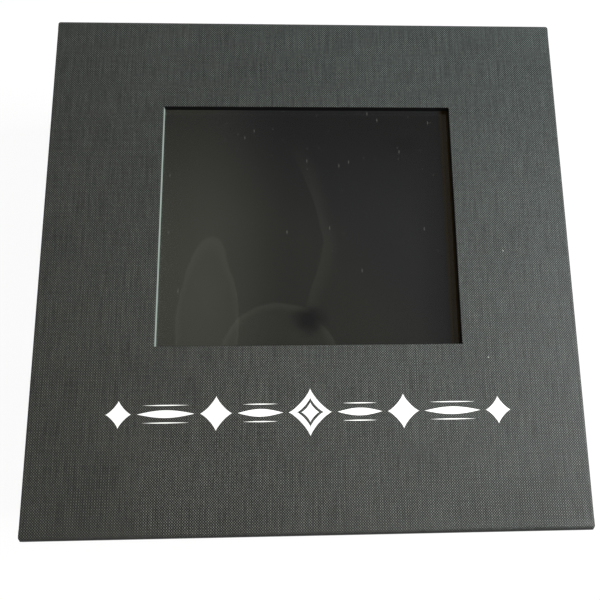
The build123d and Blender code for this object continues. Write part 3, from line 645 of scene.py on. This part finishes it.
materials = {
    "lyingLinen": linenMaterial("pressedLinenPaperLying", "lying"),
    "standingLinen": linenMaterial("pressedLinenPaperStanding", "standing"),
    "lining_paper": liningMaterial(),
    "greyboard": greyboardMaterial(),
    "stay_tape": kraftMaterial(),
    "clear_film": filmMaterial(),
    "black_card": cardMaterial(),
    "magnet_nickel": platedMaterial("magnet_nickel"),
    "keeper_steel": platedMaterial("keeper_steel"),
    "ink": inkMaterial(),
}
for part in frame["record"]["subparts"]:
    slotName = part["material_slot"]
    if slotName == "linen_paper":
        slotName = "lyingLinen" if part["node"] in ("lid_cover", "base_cover") else "standingLinen"
    for slot in nodes[part["node"]].material_slots:
        slot.material = materials[slotName]
print("materials assigned")


weldWithin = 0.0005  # mm
sharpFrom = 50  # degrees between two faces, from which their edge is drawn sharp


def meshPiece(name, build, usedMaterials):
    # a new piece from a bmesh that is given in mm
    bmesh.ops.remove_doubles(build, verts=build.verts, dist=weldWithin)
    bmesh.ops.recalc_face_normals(build, faces=build.faces)
    bmesh.ops.scale(build, vec=(mm, mm, mm), verts=build.verts)
    mesh = bpy.data.meshes.new(name)
    build.to_mesh(mesh)
    build.free()
    for material in usedMaterials:
        mesh.materials.append(material)
    mesh.polygons.foreach_set("use_smooth", [True] * len(mesh.polygons))
    mesh.set_sharp_from_angle(angle=math.radians(sharpFrom))
    piece = bpy.data.objects.new(name, mesh)
    bpy.context.scene.collection.objects.link(piece)
    return piece


# Creases: on the real case one sheet of covering paper runs over spine, lid and flap, with lining
# behind it, so each bend is one strip that carries on over both boards
creaseStrip = {
    "bendRadius": 2.0,  # of the covering paper's outside, mm
    "proud": 0.02,  # lies this far over the halves that the rigid parts carry, mm
    "thickness": 0.6,  # covering paper, its glue and the lining, mm
    "overlap": 2.4,  # runs on over each board, mm
    "sideGap": 0.12,  # drawn in from the box's sides, mm
    "cornerRound": 1.9,  # seen from above, mm
    "tuck": 0.06,  # its long edges dip under the paper, mm
    "boardSteps": 4,  # faces over each board
    "arcSteps": 12,  # and round the bend
    "sideSteps": 5,  # round each end of the strip
    "stations": 12,  # along the crease
}


def makeCrease(name, side):
    made = creaseStrip
    radius = made["bendRadius"]
    centreY, centreZ = halfDepth - radius, topHeight - radius
    half = made["thickness"] / 2
    middle = radius + made["proud"] - half
    # the strip's middle line from the lid, round the bend and down: place and outward direction
    steps = made["boardSteps"]
    along = [made["overlap"] * k / steps for k in range(steps + 1)]
    line = [(centreY - v, centreZ + middle, 0.0, 1.0) for v in reversed(along[1:])]
    for k in range(made["arcSteps"] + 1):
        turn = math.radians(90) * k / made["arcSteps"]
        line.append((centreY + middle * math.sin(turn), centreZ + middle * math.cos(turn),
                     math.sin(turn), math.cos(turn)))
    line += [(centreY + middle, centreZ - v, 1.0, 0.0) for v in along[1:]]
    # stations along the crease, with both sides rounded off
    reach = halfWidth - made["sideGap"]
    ends = []
    for k in range(made["sideSteps"] + 1):
        turn = math.radians(90) * k / made["sideSteps"]
        ends.append((reach - half + half * math.cos(turn), math.sin(turn)))
    inner = [(ends[-1][0] * (1 - 2 * k / made["stations"]), 1.0) for k in range(1, made["stations"])]
    stations = ends + inner + [(-x, share) for x, share in reversed(ends)]
    cornerRound = made["cornerRound"]
    build = bmesh.new()
    rings = []
    for x, share in stations:
        outerRow, innerRow = [], []
        for k, (y, z, outY, outZ) in enumerate(line):
            past = max(0.0, y - (halfDepth - cornerRound))
            drawnIn = cornerRound - math.sqrt(cornerRound ** 2 - past ** 2)
            x0 = x * (1 - drawnIn / reach)
            lift = half - (made["tuck"] if k in (0, len(line) - 1) else 0)
            outerRow.append(build.verts.new((x0, side * (y + outY * lift * share),
                                             z + outZ * lift * share)))
            innerRow.append(build.verts.new((x0, side * (y - outY * half * share),
                                             z - outZ * half * share)))
        rings.append((outerRow, innerRow))
    for (outerA, innerA), (outerB, innerB) in zip(rings, rings[1:]):
        for rowA, rowB, slot in ((outerA, outerB, 0), (innerA, innerB, 1)):
            for k in range(len(line) - 1):
                face = build.faces.new((rowA[k], rowA[k + 1], rowB[k + 1], rowB[k]))
                face.material_index = slot
        for k in (0, -1):
            build.faces.new((outerA[k], innerA[k], innerB[k], outerB[k]))
    piece = meshPiece(name, build, [materials["lyingLinen"], materials["lining_paper"]])
    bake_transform(piece)


makeCrease("spine_crease_paper", 1)
makeCrease("flap_crease_paper", -1)
print("creases made")

# Ornament: printed below the window in white ink, lozenges on swelled rules as printers have
# always set them
ornament = {
    "middle": (0.0, -63.3),  # mm on the lid
    "lozenges": ((0.0, 9.3), (37.0, 6.8), (75.0, 5.4)),  # mm from the middle, half height
    "ring": 0.62,  # the middle one is open from this share of it inward
    "heart": 0.42,  # and holds a solid one of this share
    "slimness": 0.92,  # half width for each half height
    "waist": 2.5,  # 2 gives straight sides, more draws them in
    "ruleHalf": 1.5,  # mm, half height of a swelled rule at its middle
    "ruleGap": 2.2,  # mm between a rule's tip and the lozenge beside it
    "hairline": 0.22,  # mm, half height of the thin rules
    "hairlineAway": 3.4,  # mm from the swelled rule's middle
    "hairlineShort": 2.0,  # mm shorter than that rule at each end
    "inkAbove": 0.03,  # mm over the paper
    "inkBelow": 0.02,
    "steps": 48,  # points round a lozenge or a rule
}


def lozengeOutline(midX, midY, halfHigh):
    made = ornament
    outline = []
    for k in range(made["steps"]):
        turn = 2 * math.pi * k / made["steps"]
        across = math.copysign(abs(math.cos(turn)) ** made["waist"], math.cos(turn))
        up = math.copysign(abs(math.sin(turn)) ** made["waist"], math.sin(turn))
        outline.append((midX + halfHigh * made["slimness"] * across, midY + halfHigh * up))
    return outline


def ruleOutline(startX, endX, midY, halfHigh):
    # thickest at its middle and drawn out to a point at each end
    made = ornament
    steps = made["steps"] // 2
    upper = []
    for k in range(steps + 1):
        share = k / steps
        upper.append((startX + (endX - startX) * share, midY + halfHigh * math.sin(math.pi * share)))
    lower = [(x, 2 * midY - y) for x, y in reversed(upper[1:-1])]
    return upper + lower


def addInk(build, outline, hole=None):
    # a thin closed plate, solid from its middle out, or open where a hole is given
    made = ornament
    if hole is None:
        midX = sum(x for x, y in outline) / len(outline)
        midY = sum(y for x, y in outline) / len(outline)
        hole = [(midX, midY)] * len(outline)
    levels = (topHeight + made["inkAbove"], topHeight - made["inkBelow"])
    loops = [[build.verts.new((x, y, z)) for x, y in edge] for z in levels for edge in (outline, hole)]
    outerTop, innerTop, outerLow, innerLow = loops
    isOpen = hole[0] != hole[1]
    for k in range(len(outline)):
        after = (k + 1) % len(outline)
        build.faces.new((outerTop[k], outerTop[after], innerTop[after], innerTop[k]))
        build.faces.new((outerLow[after], outerLow[k], innerLow[k], innerLow[after]))
        build.faces.new((outerTop[after], outerTop[k], outerLow[k], outerLow[after]))
        if isOpen:
            build.faces.new((innerTop[k], innerTop[after], innerLow[after], innerLow[k]))


def makeOrnament():
    made = ornament
    midX, midY = made["middle"]
    build = bmesh.new()
    largest = made["lozenges"][0][1]
    addInk(build, lozengeOutline(midX, midY, largest),
           lozengeOutline(midX, midY, made["ring"] * largest))
    addInk(build, lozengeOutline(midX, midY, made["heart"] * largest))
    for side in (-1, 1):
        for away, halfHigh in made["lozenges"][1:]:
            addInk(build, lozengeOutline(midX + side * away, midY, halfHigh))
        for (awayA, halfA), (awayB, halfB) in zip(made["lozenges"], made["lozenges"][1:]):
            start = awayA + halfA * made["slimness"] + made["ruleGap"]
            end = awayB - halfB * made["slimness"] - made["ruleGap"]
            addInk(build, ruleOutline(midX + side * start, midX + side * end, midY, made["ruleHalf"]))
            thinStart, thinEnd = start + made["hairlineShort"], end - made["hairlineShort"]
            for level in (-1, 1):
                addInk(build, ruleOutline(midX + side * thinStart, midX + side * thinEnd,
                                          midY + level * made["hairlineAway"], made["hairline"]))
    piece = meshPiece("lid_ornament", build, [materials["ink"]])
    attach(piece, "lid")


makeOrnament()
print("ornament printed")

# Studio: a pale floor, a softbox on the right, a weak even sky, and a dim ceiling
studio = {
    "floorSize": 60.0,  # m
    "floorColour": "#f2f2f0",
    "white": "#ffffff",
    "floorGlow": 0.92,  # share of the floor's white that the eye gets without light
    "floorWhite": 1.03,
    "floorBelow": 0.0002,  # m under the box
    "skyStrength": 0.22,
    "ceiling": 0.22,  # what gloss sees overhead; the horizon is white
    "ceilingFrom": (0.2, 0.6),  # how steeply up the white ends and the ceiling is full
    "keyPlace": (0.8, -0.02, 0.8),  # m
    "keyAim": (0.0, 0.0, 0.09),  # m
    "keySize": (0.39, 0.26),  # m
    "keySpread": 70.0,  # degrees, held in by the softbox's grid
    "keyPower": 3.35,  # W
}


def makeFloor():
    half = studio["floorSize"] / 2
    mesh = bpy.data.meshes.new("floor")
    corners = [(-half, -half), (half, -half), (half, half), (-half, half)]
    mesh.from_pydata([(x, y, -studio["floorBelow"]) for x, y in corners], [], [(0, 1, 2, 3)])
    floor = bpy.data.objects.new("floor", mesh)
    bpy.context.scene.collection.objects.link(floor)
    material, tree = newMaterial("studioFloor")
    eye = addNode(tree, "LightPath", out="Is Camera Ray")
    seen = addNode(tree, "Math", {0: eye, 1: eye.node.outputs["Is Glossy Ray"]}, operation="MAXIMUM")
    seen = addNode(tree, "Math", {0: seen, 1: eye.node.outputs["Is Transmission Ray"]},
                   operation="MAXIMUM")
    share = addNode(tree, "Math", {0: seen, 1: studio["floorGlow"]}, operation="MULTIPLY")
    matt = addNode(tree, "BsdfDiffuse", {"Color": rgba(studio["floorColour"])})
    glow = addNode(tree, "Emission", {"Color": rgba(studio["white"]), "Strength": studio["floorWhite"]})
    surface = addNode(tree, "MixShader", {0: share, 1: matt, 2: glow})
    addNode(tree, "OutputMaterial", {"Surface": surface})
    mesh.materials.append(material)


def makeSky():
    world = bpy.data.worlds.new("studioSky")
    bpy.context.scene.world = world
    world.use_nodes = True
    tree = world.node_tree
    tree.nodes.clear()
    eye = addNode(tree, "LightPath", out="Is Camera Ray")
    clear = addNode(tree, "Math", {0: eye, 1: eye.node.outputs["Is Transmission Ray"]},
                    operation="MAXIMUM")
    up = addNode(tree, "SeparateXYZ", {0: addNode(tree, "TexCoord", out="Generated")}, out=2)
    lowest, highest = studio["ceilingFrom"]
    gloss = addNode(tree, "MapRange", {"Value": up, "From Min": lowest, "From Max": highest,
                                       "To Min": 1.0, "To Max": studio["ceiling"]},
                    interpolation_type="SMOOTHSTEP")
    strength = addNode(tree, "Mix", {0: eye.node.outputs["Is Glossy Ray"], 2: studio["skyStrength"],
                                     3: gloss})
    strength = addNode(tree, "Mix", {0: clear, 2: strength, 3: 1.0})
    sky = addNode(tree, "Background", {"Color": rgba(studio["white"]), "Strength": strength})
    addNode(tree, "OutputWorld", {"Surface": sky})


def makeSoftbox(name, place, aim, size, spread, power):
    light = bpy.data.lights.new(name, "AREA")
    light.shape = "RECTANGLE"
    light.size, light.size_y = size
    light.spread = math.radians(spread)
    light.energy = power
    softbox = bpy.data.objects.new(name, light)
    softbox.location = place
    toAim = Vector(aim) - Vector(place)
    softbox.rotation_euler = toAim.to_track_quat("-Z", "Y").to_euler()
    bpy.context.scene.collection.objects.link(softbox)


def makeCamera():
    # held over the lid, a little towards the flap, and close, so the lid's far end looks narrower
    view = {
        "place": (-3.47, -79.87, 375.25),  # mm
        "turn": (12.701, -2.281, -0.922),  # degrees
        "lens": 41.342,  # mm
        "shift": -0.05,  # share of the picture's width
        "sensor": 36.0,  # mm
        "nearest": 0.01,  # m
    }
    data = bpy.data.cameras.new("camera")
    data.lens = view["lens"]
    data.sensor_width = view["sensor"]
    data.shift_x = view["shift"]
    data.clip_start = view["nearest"]
    camera = bpy.data.objects.new("camera", data)
    camera.location = [v * mm for v in view["place"]]
    camera.rotation_euler = [math.radians(v) for v in view["turn"]]
    bpy.context.scene.collection.objects.link(camera)
    bpy.context.scene.camera = camera


makeFloor()
makeSky()
makeSoftbox("rightSoftbox", studio["keyPlace"], studio["keyAim"], studio["keySize"],
            studio["keySpread"], studio["keyPower"])
makeCamera()
bpy.context.scene.view_settings.view_transform = "Standard"
print("studio set")
